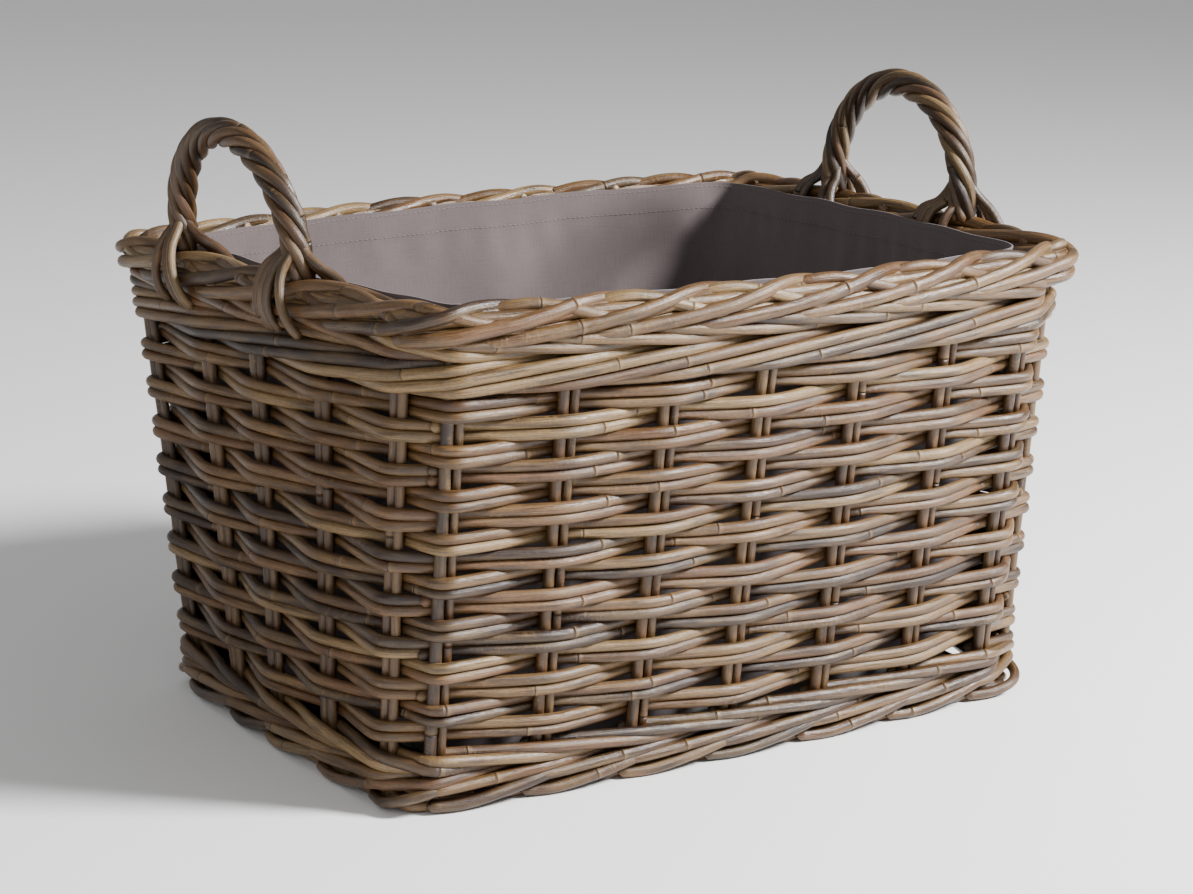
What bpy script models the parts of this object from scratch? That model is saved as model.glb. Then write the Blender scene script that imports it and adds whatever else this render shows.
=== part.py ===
"""Rectangular rattan log basket with two twisted rod handles and a lift-out cotton lining.

Origin below the middle of the whole basket on the floor, +Z up, +X along the long side,
metres. The sides are bowed, the basket widens upwards and its back left corner leans out.
Twenty-four pairs of upright stakes carry sixteen woven courses between a waling band and a
border at the rim, and a waling band and a foot border at the base.
"""
import math

import bmesh
import bpy
from mathutils import Vector

# ---- Overall shape: half sizes of the middle of the woven wall -------------------------
RIM_HEIGHT = 0.350
FLOOR_HALF_LENGTH, RIM_HALF_LENGTH = 0.2620, 0.2630
FLOOR_HALF_WIDTH, RIM_HALF_WIDTH = 0.1618, 0.1940
FLOOR_BOW, RIM_BOW = (0.0097, 0.0052), (0.0250, 0.0067)  # of a long and a short side
CORNER_RADIUS = 0.020
SAG_LOW, SAG_RIM = 0.0063, 0.0           # how far the courses dip at the middle of a side
BACK_LEFT_LEAN = Vector((-0.0136, 0.0405, -0.0182))      # of the uneven corner's rim
LEAN_SPAN = (0.280, 0.210)
MIDDLE = Vector((-0.0042, 0.0117, 0.0))  # of the whole basket, seen from the middle of its foot
GAP = 0.0003                             # kept between touching pieces

# ---- Stakes: a thick and a thin rod side by side, as fractions of the half side --------
LONG_STAKES = (-0.930, -0.630, -0.342, -0.053, 0.254, 0.572, 0.858)
SHORT_STAKES = (-0.890, -0.416, -0.036, 0.397, 0.850)
THICK_ROD, THIN_ROD = 0.0041, 0.0032     # radii
PAIR_WIDTH = 0.0154

# ---- Weave ----------------------------------------------------------------------------
COURSES = 16
PITCH = 0.0148                           # height of one course of two rods
FIRST_COURSE = 0.0571                    # height of the lowest course at a corner
WEAVE_DEPTH, WEAVE_HEIGHT = 0.0072, 0.0144
SWING = 0.0107                           # how far a course swings past a stake
CREST = 0.0095                           # half the flat run past a corner stake
UPPER_WALING = (0.2931, 0.3062, 0.3193)
UPPER_WALING_HEIGHT = 0.0127
LOWER_WALING = (0.0280, 0.0410)
LOWER_WALING_HEIGHT = 0.0103

# ---- Borders, base, handles, lining ----------------------------------------------------
BORDER_WIDTH, BORDER_HEIGHT = 0.030, 0.0237
FOOT_WIDTH, FOOT_HEIGHT = 0.022, 0.0174
STICK_RADIUS, STICK_LEVEL, STICK_END_GAP = 0.0045, 0.0090, 0.0022
BASE_BOTTOM, BASE_THICKNESS, BASE_INSET = 0.0139, 0.0080, 0.0145
ROPE_RADIUS, ROPE_TURN = 0.0105, math.radians(30)
SADDLE_WIDTH, SADDLE_THICKNESS = 0.0205, 0.0070
HANDLES = (                              # name, side, fractions of both feet, top, lean at the top
    ("handle_left", 3, (0.271, -0.524), 0.4270, (-0.006, 0.008)),
    ("handle_right", 1, (-0.378, 0.424), 0.4400, (0.0, 0.0)),
)
SADDLE_OFFSET = 0.0150                   # from a handle's leg towards its middle
LEG_RISE, ARC_STEPS = 0.006, 26
LINING_THICKNESS = 0.0018
LINING_BOTTOM, LINING_TOP = 0.0224, 0.3405
LINING_INSET_X, LINING_INSET_Y = 0.0250, 0.0175

RATTAN_TONES = ((0.36, 0.27, 0.19), (0.42, 0.33, 0.25), (0.30, 0.21, 0.15), (0.47, 0.39, 0.31))


def material(name, colour, roughness):
    """A Principled material with one colour."""
    mat = bpy.data.materials.new(name)
    mat.use_nodes = True
    shader = mat.node_tree.nodes["Principled BSDF"]
    shader.inputs["Base Color"].default_value = (*colour, 1.0)
    shader.inputs["Roughness"].default_value = roughness
    shader.inputs["Metallic"].default_value = 0.0
    mat.diffuse_color = (*colour, 1.0)
    return mat


def rattan(name, tone):
    """Greyed rattan in one of four tones."""
    return material(name, RATTAN_TONES[tone % len(RATTAN_TONES)], 0.48)


def mix(low, high, z):
    """A size between its value on the floor and its value at the rim."""
    return low + (high - low) * z / RIM_HEIGHT


def sag(z):
    """Dip at the middle of a side: none on the floor, most at the lowest course."""
    if z < FIRST_COURSE:
        return SAG_LOW * z / FIRST_COURSE
    share = (z - FIRST_COURSE) / (RIM_HEIGHT - FIRST_COURSE)
    return SAG_LOW + (SAG_RIM - SAG_LOW) * share


def lean(point, z):
    """Move a point of the wall with the back left corner, which leans out and down."""
    share = (1.0 - point.x / LEAN_SPAN[0]) / 2 * (1.0 + point.y / LEAN_SPAN[1]) / 2
    return point + BACK_LEFT_LEAN * max(share, 0.0) * z / RIM_HEIGHT


def side_point(side, q, z, out=0.0, grow=(0.0, 0.0)):
    """Point at fraction q of a side (0 front, 1 right, 2 back, 3 left), set out by out."""
    return lean(even_point(side, q, z, out, grow), z)


def even_point(side, q, z, out=0.0, grow=(0.0, 0.0)):
    """The same point on a basket without its lean."""
    half_x = mix(FLOOR_HALF_LENGTH, RIM_HALF_LENGTH, z) + grow[0]
    half_y = mix(FLOOR_HALF_WIDTH, RIM_HALF_WIDTH, z) + grow[1]
    along, across = (half_x, half_y) if side % 2 == 0 else (half_y, half_x)
    bulge = 1.0 - q * q
    across += mix(FLOOR_BOW[side % 2], RIM_BOW[side % 2], z) * bulge + out
    point = Vector((q * along, -across, z - sag(z) * bulge))
    turn = side * math.pi / 2
    return Vector((point.x * math.cos(turn) - point.y * math.sin(turn),
                   point.x * math.sin(turn) + point.y * math.cos(turn), point.z))


def side_half(side, z):
    """Half the length of a side at a height."""
    if side % 2 == 0:
        return mix(FLOOR_HALF_LENGTH, RIM_HALF_LENGTH, z)
    return mix(FLOOR_HALF_WIDTH, RIM_HALF_WIDTH, z)


def corner_point(side, t, z, grow=(0.0, 0.0)):
    """Point at t from 0 to 1 round the corner that follows a side."""
    q_end = 1.0 - CORNER_RADIUS / side_half(side, z)
    q_start = 1.0 - CORNER_RADIUS / side_half(side + 1, z)
    start = even_point(side, q_end, z, grow=grow)
    end = even_point((side + 1) % 4, -q_start, z, grow=grow)
    corner = Vector((end.x, start.y, start.z)) if side % 2 == 0 else Vector((start.x, end.y, start.z))
    return lean(start * (1 - t) ** 2 + corner * 2 * t * (1 - t) + end * t * t, z)


def plan_loop(z, steps, corner_steps, grow=(0.0, 0.0)):
    """Closed outline of the wall at a height, grown along X and Y."""
    points = []
    for side in range(4):
        reach = 1.0 - CORNER_RADIUS / side_half(side, z)
        for i in range(steps[side % 2] + 1):
            q = reach * (2 * i / steps[side % 2] - 1)
            points.append(side_point(side, q, z, grow=grow))
        for i in range(1, corner_steps):
            points.append(corner_point(side, i / corner_steps, z, grow=grow))
    return points


def stake_places():
    """Side and fraction of every stake pair, counter-clockwise from the front left corner."""
    return [(side, q) for side in range(4) for q in (SHORT_STAKES if side % 2 else LONG_STAKES)]


def link(obj, collection, mat=None):
    """Put an object in its collection and give it its material."""
    collection.objects.link(obj)
    if mat:
        obj.data.materials.append(mat)
    return obj


def profile(name, outline, guides):
    """A closed flat outline that a curve carries as its section."""
    data = bpy.data.curves.new(name, 'CURVE')
    data.dimensions = '2D'
    spline = data.splines.new('POLY')
    spline.points.add(len(outline) - 1)
    for point, (x, y) in zip(spline.points, reversed(outline)):
        point.co = (x, y, 0.0, 1.0)
    spline.use_cyclic_u = True
    obj = link(bpy.data.objects.new(name, data), guides)
    obj.hide_render = True
    obj.display_type = 'WIRE'
    return obj


def ellipse(width, height, count, phase=0.5):
    """Corners of a rounded section with flat top and bottom."""
    return [(width / 2 * math.cos(math.tau * (i + phase) / count),
             height / 2 * math.sin(math.tau * (i + phase) / count)) for i in range(count)]


def flat_oval(width, height):
    """Eight-sided section that fills its width and height."""
    a, b = width / 2, height / 2
    return [(a, b * 0.42), (a * 0.5, b), (-a * 0.5, b), (-a, b * 0.42),
            (-a, -b * 0.42), (-a * 0.5, -b), (a * 0.5, -b), (a, -b * 0.42)]


def swept(name, points, section, collection, mat, cyclic=True, tilts=None, radii=None):
    """A poly curve that carries a section along its points."""
    data = bpy.data.curves.new(name, 'CURVE')
    data.dimensions = '3D'
    data.twist_mode = 'Z_UP'
    data.bevel_mode = 'OBJECT'
    data.bevel_object = section
    data.use_fill_caps = not cyclic
    data.render_resolution_u = 0
    spline = data.splines.new('POLY')
    spline.points.add(len(points) - 1)
    for i, (point, place) in enumerate(zip(spline.points, points)):
        point.co = (*place, 1.0)
        point.tilt = tilts[i] if tilts else 0.0
        point.radius = radii[i] if radii else 1.0
    spline.use_cyclic_u = cyclic
    return link(bpy.data.objects.new(name, data), collection, mat)


def woven_ring(z, in_front):
    """Path of a course that passes in front of some stakes and behind the others."""
    points = []
    index = 0
    for side in range(4):
        places = SHORT_STAKES if side % 2 else LONG_STAKES
        for q in places:
            out = SWING if in_front(index) else -SWING
            at_corner = q in (places[0], places[-1])
            for shift in (-CREST, CREST) if at_corner else (0.0,):
                points.append(side_point(side, q + shift / side_half(side, z), z, out))
            index += 1
        points.append(corner_point(side, 0.5, z))
    return points


def make_stakes(collection, guides):
    """Upright pairs of a thick and a thin rod, from the foot border to the rim border."""
    thick = Vector((-PAIR_WIDTH / 2 + THICK_ROD, 0))
    thin = Vector((PAIR_WIDTH / 2 - THIN_ROD, 0))
    outline = [(thick.x + THICK_ROD * math.cos(a), THICK_ROD * math.sin(a))
               for a in (math.radians(d) for d in (50, 115, 180, 245, 310))]
    outline += [(thin.x + THIN_ROD * math.cos(a), THIN_ROD * math.sin(a))
                for a in (math.radians(d) for d in (-115, -50, 0, 50, 115))]
    section = profile("stake_section", outline, guides)
    rim = RIM_HEIGHT - BORDER_HEIGHT / 2
    for index, (side, q) in enumerate(stake_places()):
        foot = side_point(side, q, FOOT_HEIGHT)
        head = side_point(side, q, rim - BORDER_HEIGHT / 2)
        run = head - foot
        slant = PAIR_WIDTH / 2 * abs((run.y if side % 2 else run.x) / run.z)
        foot.z = FOOT_HEIGHT + 3 * GAP + slant
        head.z = side_point(side, q, rim).z - BORDER_HEIGHT / 2 - 4 * GAP - slant
        obj = swept(f"stake_{index + 1:02d}", [foot, head], section, collection,
                    rattan(f"stake_rattan_{index + 1:02d}", index + 2), cyclic=False)
        obj.data.twist_mode = 'MINIMUM'
        lay_stake(obj, side)


def lay_stake(obj, side):
    """Turn a stake's section so that its two rods stand side by side along the wall."""
    points = obj.data.splines[0].points
    direction = Vector(points[1].co[:3]) - Vector(points[0].co[:3])
    turn = section_turn(direction.normalized(), side)
    for point in points:
        point.tilt = turn


def section_turn(direction, side):
    """Tilt that brings the section's X axis onto the wall's own direction."""
    along = Vector((math.cos(side * math.pi / 2), math.sin(side * math.pi / 2), 0.0))
    quat = direction.to_track_quat('Z', 'Y')
    local = quat.inverted() @ along
    return math.atan2(local.y, local.x)


def make_weave(collection, guides):
    """Sixteen courses, each of two rods laid together, in front of every second stake."""
    a, b = WEAVE_DEPTH / 2, WEAVE_HEIGHT / 2
    outline = [(0, b), (-a, b / 2), (-a, -b / 2), (0, -b), (a, -b / 2), (a, b / 2)]
    section = profile("weave_section", outline, guides)
    for row in range(COURSES):
        z = FIRST_COURSE + PITCH * row
        points = woven_ring(z, lambda i, r=row: (i + r) % 2 == 1)
        swept(f"weave_course_{row + 1:02d}", points, section, collection,
              rattan(f"weave_rattan_{row + 1:02d}", row))


def make_waling(collection, guides):
    """Waling rods, each in front of two stakes and behind the third."""
    for label, levels, height in (("upper", UPPER_WALING, UPPER_WALING_HEIGHT),
                                  ("lower", LOWER_WALING, LOWER_WALING_HEIGHT)):
        a, b = WEAVE_DEPTH / 2, height / 2
        outline = [(0, b), (-a, b / 2), (-a, -b / 2), (0, -b), (a, -b / 2), (a, b / 2)]
        section = profile(f"{label}_waling_section", outline, guides)
        for k, z in enumerate(levels):
            points = woven_ring(z, lambda i, k=k: i % 3 != k)
            swept(f"{label}_waling_{k + 1}", points, section, collection,
                  rattan(f"{label}_waling_rattan_{k + 1}", k + 1))


def make_borders(collection, guides):
    """Rolled rim border with a hump over every stake, and the flat foot border."""
    section = profile("border_section", ellipse(BORDER_WIDTH, BORDER_HEIGHT / math.cos(math.pi / 8), 8),
                      guides)
    centre = RIM_HEIGHT - BORDER_HEIGHT / 2
    loop = plan_loop(centre, (20, 14), 3)
    radii = [(1.0, 0.97, 0.93)[i % 3] for i in range(len(loop))]
    swept("rim_border", loop, section, collection, rattan("rim_border_rattan", 1), radii=radii)
    section = profile("foot_section", flat_oval(FOOT_WIDTH, FOOT_HEIGHT), guides)
    loop = [Vector((p.x, p.y, FOOT_HEIGHT / 2)) for p in plan_loop(0.0, (10, 7), 3)]
    swept("foot_border", loop, section, collection, rattan("foot_border_rattan", 2))


def make_base(collection):
    """Seven sticks across the base with the woven floor laid on them."""
    for i, q in enumerate(LONG_STAKES):
        end = side_point(0, q, 0.0, out=-FOOT_WIDTH / 2 - STICK_END_GAP)
        data = bpy.data.curves.new(f"base_stick_{i + 1}", 'CURVE')
        data.dimensions = '3D'
        data.bevel_depth = STICK_RADIUS
        data.bevel_resolution = 2
        data.use_fill_caps = True
        spline = data.splines.new('POLY')
        spline.points.add(1)
        for point, y in zip(spline.points, (end.y, -end.y)):
            point.co = (end.x, y, STICK_LEVEL, 1.0)
        link(bpy.data.objects.new(f"base_stick_{i + 1}", data), collection,
             rattan(f"base_stick_rattan_{i + 1}", 2))
    data = bpy.data.curves.new("base_weave", 'CURVE')
    data.dimensions = '2D'
    data.fill_mode = 'BOTH'
    data.extrude = BASE_THICKNESS / 2
    outline = plan_loop(0.0, (8, 6), 3, grow=(-BASE_INSET, -BASE_INSET))
    spline = data.splines.new('POLY')
    spline.points.add(len(outline) - 1)
    for point, place in zip(spline.points, outline):
        point.co = (place.x, place.y, 0.0, 1.0)
    spline.use_cyclic_u = True
    base = link(bpy.data.objects.new("base_weave", data), collection, rattan("base_weave_rattan", 0))
    base.location.z = BASE_BOTTOM + BASE_THICKNESS / 2


def as_mesh(obj, collection):
    """Replace a curve by its welded mesh."""
    graph = bpy.context.evaluated_depsgraph_get()
    mesh = bpy.data.meshes.new_from_object(obj.evaluated_get(graph))
    bm = bmesh.new()
    bm.from_mesh(mesh)
    bmesh.ops.remove_doubles(bm, verts=bm.verts, dist=0.00001)
    bmesh.ops.recalc_face_normals(bm, faces=bm.faces)
    bm.to_mesh(mesh)
    bm.free()
    name = obj.name
    matrix = obj.matrix_world.copy()
    bpy.data.objects.remove(obj)
    made = bpy.data.objects.new(name, mesh)
    made.matrix_world = matrix
    collection.objects.link(made)
    return made


def rim_spot(side, q):
    """Middle of the rim border's top at a fraction of a short side."""
    middle = side_point(side, q, RIM_HEIGHT - BORDER_HEIGHT / 2)
    return middle + Vector((0.0, 0.0, BORDER_HEIGHT / 2))


def handle_path(side, fractions, top, tilt):
    """Two legs that stand on the border and a half circle over them."""
    feet = [rim_spot(side, q) for q in fractions]
    middle, half = (feet[0] + feet[1]) / 2, (feet[1] - feet[0]) / 2
    spring = max(top - half.length, max(foot.z for foot in feet) + LEG_RISE)
    rise = Vector((*tilt, top - spring))
    points = [feet[0] + Vector((0, 0, 3 * GAP))]
    for i in range(ARC_STEPS + 1):
        a = math.pi * i / ARC_STEPS
        base = middle - half * math.cos(a)
        points.append(Vector((base.x, base.y, spring)) + rise * math.sin(a))
    return points + [feet[1] + Vector((0, 0, 3 * GAP))]


def saddle_path(side, q):
    """Path over the border from outside to inside."""
    spot = rim_spot(side, q)
    spot.z += 2 * GAP + SADDLE_THICKNESS / 2
    outward = 1 if side == 1 else -1
    reach = BORDER_WIDTH / 2 + 2 * GAP + SADDLE_THICKNESS / 2
    drop = BORDER_HEIGHT
    shape = ((reach, -drop), (reach, -0.35 * drop), (0.88 * reach, -0.12 * drop), (0.62 * reach, 0.0),
             (-0.62 * reach, 0.0), (-0.88 * reach, -0.12 * drop), (-reach, -0.35 * drop), (-reach, -drop))
    return [spot + Vector((outward * dx, 0.0, dz)) for dx, dz in shape]


def make_handles(collection, guides):
    """Twisted rod hoops whose strands straddle the rim border beside each leg."""
    rope = profile("rope_section", [(r * math.cos(math.pi * i / 6), r * math.sin(math.pi * i / 6))
                                    for i, r in enumerate((ROPE_RADIUS, 0.86 * ROPE_RADIUS) * 6)], guides)
    a, b = SADDLE_WIDTH / 2, SADDLE_THICKNESS / 2
    band = profile("saddle_section", [(a, 0), (0.8 * a, b), (-0.8 * a, b), (-a, 0),
                                      (-0.8 * a, -b), (0.8 * a, -b)], guides)
    for name, side, fractions, top, tilt in HANDLES:
        mat = rattan(f"{name}_rattan", 3)
        path = handle_path(side, fractions, top, tilt)
        hoop = swept(name, path, rope, collection, mat, cyclic=False,
                     tilts=[ROPE_TURN * i for i in range(len(path))])
        hoop = as_mesh(hoop, collection)
        inward = math.copysign(SADDLE_OFFSET / side_half(side, RIM_HEIGHT), fractions[1] - fractions[0])
        for k, q in ((1, fractions[0] + inward), (2, fractions[1] - inward)):
            saddle = swept(f"{name}_saddle_{k}", saddle_path(side, q), band, collection, mat,
                           cyclic=False)
            saddle.data.twist_mode = 'MINIMUM'
            for point in saddle.data.splines[0].points:
                point.tilt = math.pi / 2
            saddle = as_mesh(saddle, guides)
            saddle.hide_render = True
            saddle.display_type = 'WIRE'
            join = hoop.modifiers.new("saddle", 'BOOLEAN')
            join.operation = 'UNION'
            join.object = saddle
        hoop.data.shade_smooth()


def make_lining(collection):
    """Open cotton bag that hangs just inside the rim and rests on the base."""
    levels = (LINING_BOTTOM, 0.130, 0.240, LINING_TOP)
    bm = bmesh.new()
    rings = []
    for z in levels:
        loop = plan_loop(z, (8, 6), 4, grow=(-LINING_INSET_X, -LINING_INSET_Y))
        rings.append([bm.verts.new((p.x, p.y, p.z if z == LINING_TOP else z)) for p in loop])
    for low, high in zip(rings, rings[1:]):
        for i in range(len(low)):
            j = (i + 1) % len(low)
            bm.faces.new((low[i], low[j], high[j], high[i]))
    bm.faces.new(list(reversed(rings[0])))
    mesh = bpy.data.meshes.new("lining")
    bm.to_mesh(mesh)
    bm.free()
    obj = link(bpy.data.objects.new("lining", mesh), collection,
               material("lining_cotton", (0.42, 0.36, 0.37), 0.9))
    shell = obj.modifiers.new("thickness", 'SOLIDIFY')
    shell.thickness = LINING_THICKNESS
    shell.offset = -1.0


def main():
    """Build the basket from an empty scene."""
    for obj in list(bpy.data.objects):
        bpy.data.objects.remove(obj)
    parts = bpy.data.collections.new("wicker_log_basket")
    guides = bpy.data.collections.new("guides")
    for collection in (parts, guides):
        bpy.context.scene.collection.children.link(collection)
    make_stakes(parts, guides)
    make_weave(parts, guides)
    make_waling(parts, guides)
    make_borders(parts, guides)
    make_base(parts)
    make_handles(parts, guides)
    make_lining(parts)
    for obj in (*parts.objects, *guides.objects):
        obj.location -= MIDDLE


main()
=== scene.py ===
import math

import bmesh
import bpy
import numpy as np
from bpy.props import FloatProperty, FloatVectorProperty, IntProperty, PointerProperty
from bpy.types import Operator, Panel, PropertyGroup
from mathutils import Matrix, Vector, noise


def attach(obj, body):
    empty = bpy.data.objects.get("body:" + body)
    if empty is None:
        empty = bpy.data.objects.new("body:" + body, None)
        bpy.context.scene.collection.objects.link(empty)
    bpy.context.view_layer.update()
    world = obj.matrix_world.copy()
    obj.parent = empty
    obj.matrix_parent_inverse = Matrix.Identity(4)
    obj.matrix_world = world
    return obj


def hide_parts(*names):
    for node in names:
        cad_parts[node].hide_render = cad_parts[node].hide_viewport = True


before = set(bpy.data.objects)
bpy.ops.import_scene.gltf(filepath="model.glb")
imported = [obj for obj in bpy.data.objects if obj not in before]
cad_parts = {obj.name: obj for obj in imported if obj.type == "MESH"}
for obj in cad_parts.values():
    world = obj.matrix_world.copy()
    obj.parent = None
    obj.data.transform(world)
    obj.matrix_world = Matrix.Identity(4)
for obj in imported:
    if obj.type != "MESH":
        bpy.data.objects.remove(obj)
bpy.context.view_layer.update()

bl_info = {
    "name": "Wicker log basket",
    "version": (1, 0, 0),
    "blender": (4, 5, 0),
    "location": "3D View > Sidebar > Basket",
    "description": "Rattan log basket with rod handles and a cotton lining, built rod by rod",
    "category": "Add Mesh",
}

# ---- The wall: half sizes of its middle surface at the floor and at the rim, metres
RIM_HEIGHT = 0.350
HALF_LENGTH = (0.2620, 0.2630)
HALF_WIDTH = (0.1618, 0.1940)
BOW = ((0.0097, 0.0250), (0.0052, 0.0067))   # how far a long and a short side stand out
CORNER_RADIUS = 0.020
LEAN, LEAN_SPAN = (-0.0136, 0.0405, -0.0182), (0.280, 0.210)     # the back left corner leans out
MIDDLE = np.array([-0.0042, 0.0117, 0])  # of the whole basket, seen from the middle of its foot
FIRST_COURSE, PITCH, COURSES = 0.0571, 0.0148, 16
DIP = (0.0063, 0.0)                      # of a course at mid-side, lowest course and rim
LONG_STAKES = (-0.930, -0.630, -0.342, -0.053, 0.254, 0.572, 0.858)
SHORT_STAKES = (-0.890, -0.416, -0.036, 0.397, 0.850)
STAKES = 24
TURNS = np.array([side + (q + 1) / 2 for side in range(4)
                  for q in (SHORT_STAKES if side % 2 else LONG_STAKES)])
CORNERS = (6, 11, 18, 23)                # the last stake before each corner

# ---- Handles: name, side, fractions of both feet, top of the middle line, lean of the top
HANDLES = (("handle_left", 3, (0.271, -0.524), 0.4270, (-0.006, 0.008)),
           ("handle_right", 1, (-0.378, 0.424), 0.4400, (0.0, 0.0)))

HANDLE_CORE, HANDLE_TWIST = 0.0032, 0.0070       # radius of the core, and of the strands' helix

# ---- Walings: row, seed, CAD nodes, and each strand's heights at its stakes and its tucked ends
WALINGS = (("upper", 31, 3, (((0.2908, 0.2916, 0.2998, 0.3080, 0.3100), (-0.006, -0.005)),
                             ((0.3250, 0.3232, 0.3156, 0.3140), (-0.006, -0.006)))),
           ("lower", 32, 2, (((0.0165, 0.0175, 0.0245, 0.0270), (-0.005, -0.006)),
                             ((0.0405, 0.0400, 0.0325, 0.0300), (-0.006, -0.006)))))

# ---- Woven floor
BASE_HALF, BASE_LEVEL = (0.250, 0.150), 0.0105
STICK_RADIUS, STICK_APART = 0.0037, 0.0084

# ---- Lights: name, place, size and watts; the camera
LAMPS = (("key", (1.7, -1.8, 1.9), 0.7, 310.0), ("fill", (-2.4, -1.6, 1.4), 2.0, 20.0))
DAYLIGHT = 0.38
CAMERA_PLACE = (-1.1666, -1.7497, 0.6947)
CAMERA_TURN, CAMERA_RISE, CAMERA_ROLL = (math.radians(a) for a in (-33.748, 13.670, 1.134))
CAMERA_LENS = 88.21

ROD_STEP = 0.0028                        # length of one facet along a rod


def colour(text):
    """Scene-linear colour of a hex code."""
    parts = [int(text[i:i + 2], 16) / 255 for i in (0, 2, 4)]
    return tuple(c / 12.92 if c < 0.04045 else ((c + 0.055) / 1.055) ** 2.4 for c in parts)


# ---- Sizes and colours
def length(name, text, value):
    """A size in metres."""
    return FloatProperty(name=name, description=text, default=value, min=0.0, unit='LENGTH',
                         precision=4)


def tint(name, text, code):
    """A colour."""
    return FloatVectorProperty(name=name, description=text, subtype='COLOR', size=3, min=0.0, max=1.0,
                               default=colour(code))


class BasketSizes(PropertyGroup):
    """Sizes and colours of the basket."""
    weave_rod: length("Weaving rod", "Diameter of a rod in the woven courses", 0.0079)
    weave_swing: length("Swing", "How far a course swings past a stake", 0.0082)
    thick_stake: length("Thick stake", "Diameter of the thicker rod of a stake pair", 0.0082)
    thin_stake: length("Thin stake", "Diameter of the thinner rod of a stake pair", 0.0064)
    border_rod: length("Border rod", "Diameter of a rod in the rolled rim border", 0.0090)
    foot_rod: length("Foot rod", "Diameter of a rod in the foot border", 0.0080)
    base_rod: length("Base rod", "Diameter of a rod in the woven floor", 0.0058)
    handle_rod: length("Handle rod", "Diameter of a strand of the twisted handles", 0.0076)
    handle_lay: length("Handle lay", "Length in which a handle strand turns once round", 0.104)
    node_gap: length("Node spacing", "Mean distance between the node rings of a rod", 0.230)
    cloth: length("Cloth thickness", "Thickness of the cotton lining", 0.0011)
    hem: length("Hem", "Depth of the lining's top hem", 0.0225)
    stitch: length("Stitch", "Length of one stitch and its gap", 0.0042)
    rod_sides: IntProperty(name="Rod sides", description="Facets round a rod", default=12, min=6, max=24)
    handle_strands: IntProperty(name="Handle strands", description="Strands twisted into a handle",
                                default=6, min=3, max=9)
    pale: tint("Pale rattan", "Weathered pale grey rods", "7a613e")
    tan: tint("Tan rattan", "Ordinary tan rods", "573817")
    brown: tint("Brown rattan", "Darker brown rods", "2c190a")
    rose: tint("Rose rattan", "Rods with a pinkish cast", "5f4027")
    lining: tint("Lining", "Grey-mauve cotton", "5c5252")
    floor: tint("Floor", "Studio floor", "f6f6f6")


# ---- The wall surface
def mix(ends, z):
    """A size between its value at the floor and its value at the rim."""
    return ends[0] + (ends[1] - ends[0]) * np.asarray(z) / RIM_HEIGHT


def dip(z):
    """Dip at the middle of a side at a height."""
    z = np.asarray(z, float)
    upper = DIP[0] + (DIP[1] - DIP[0]) * (z - FIRST_COURSE) / (RIM_HEIGHT - FIRST_COURSE)
    return np.where(z < FIRST_COURSE, DIP[0] * np.clip(z, 0, None) / FIRST_COURSE, upper)


def plan(turn, z, grow=(0.0, 0.0), corner=CORNER_RADIUS):
    """Plan of the wall at turn (0 to 4 round the basket), and how near mid-side it is."""
    turn, z = np.broadcast_arrays(np.asarray(turn, float), np.asarray(z, float))
    side = np.floor(turn).astype(int)
    q = 2 * (turn - side) - 1
    half_x, half_y = mix(HALF_LENGTH, z) + grow[0], mix(HALF_WIDTH, z) + grow[1]
    is_long = side % 2 == 0
    along, across = np.where(is_long, half_x, half_y), np.where(is_long, half_y, half_x)
    bow, bow_next = (np.where(is_long, mix(BOW[k], z), mix(BOW[1 - k], z)) for k in (0, 1))
    reach, reach_next = 1 - corner / along, 1 - corner / across
    bulge = 1 - q * q
    x, y = q * along, -(across + bow * bulge)
    t = np.clip((np.abs(q) - reach) / (1 - reach) / 2, 0, 0.5)
    start = (reach * along, -(across + bow * (1 - reach ** 2)))
    end = (along + bow_next * (1 - reach_next ** 2), -reach_next * across)
    a, b, c = (1 - t) ** 2, 2 * t * (1 - t), t * t
    corner_x = np.sign(q) * (a * start[0] + b * end[0] + c * end[0])
    corner_y = a * start[1] + b * start[1] + c * end[1]
    round_it = np.abs(q) > reach
    x, y = np.where(round_it, corner_x, x), np.where(round_it, corner_y, y)
    bulge = np.where(round_it, (1 - t) * (1 - reach ** 2) + t * (1 - reach_next ** 2), bulge)
    angle = side * math.pi / 2
    return x * np.cos(angle) - y * np.sin(angle), x * np.sin(angle) + y * np.cos(angle), bulge


def leaned(points, x, y, z):
    """Move points of the wall at x, y and z with the leaning corner, and centre the basket."""
    share = np.clip((1 - x / LEAN_SPAN[0]) / 2 * (1 + y / LEAN_SPAN[1]) / 2, 0, None) * z / RIM_HEIGHT
    return points + np.asarray(share)[..., None] * np.array(LEAN) - MIDDLE


def turn_of(s):
    """Turn round the basket of stake number s, whole at a stake, counter-clockwise."""
    s = np.asarray(s, float)
    lap = np.floor(s / STAKES)
    keys = np.append(TURNS, TURNS[0] + 4)
    return np.interp(s - STAKES * lap, np.arange(STAKES + 1), keys) + 4 * lap


def outward(turn, z, grow=(0.0, 0.0), corner=CORNER_RADIUS):
    """Level direction out of the wall."""
    x0, y0, _ = plan(turn - 0.004, z, grow, corner)
    x1, y1, _ = plan(turn + 0.004, z, grow, corner)
    size = np.hypot(x1 - x0, y1 - y0)
    return (y1 - y0) / size, -(x1 - x0) / size


def wall(s, z, out=0.0, slide=0.0):
    """Points at stake number s and height z, set out from the wall and slid along it."""
    turn = turn_of(s)
    x, y, bulge = plan(turn, z)
    nx, ny = outward(turn, z)
    points = np.stack([x + nx * out - ny * slide, y + ny * out + nx * slide,
                       z - dip(z) * bulge + 0 * x], axis=-1)
    return leaned(points, x, y, z)


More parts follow.
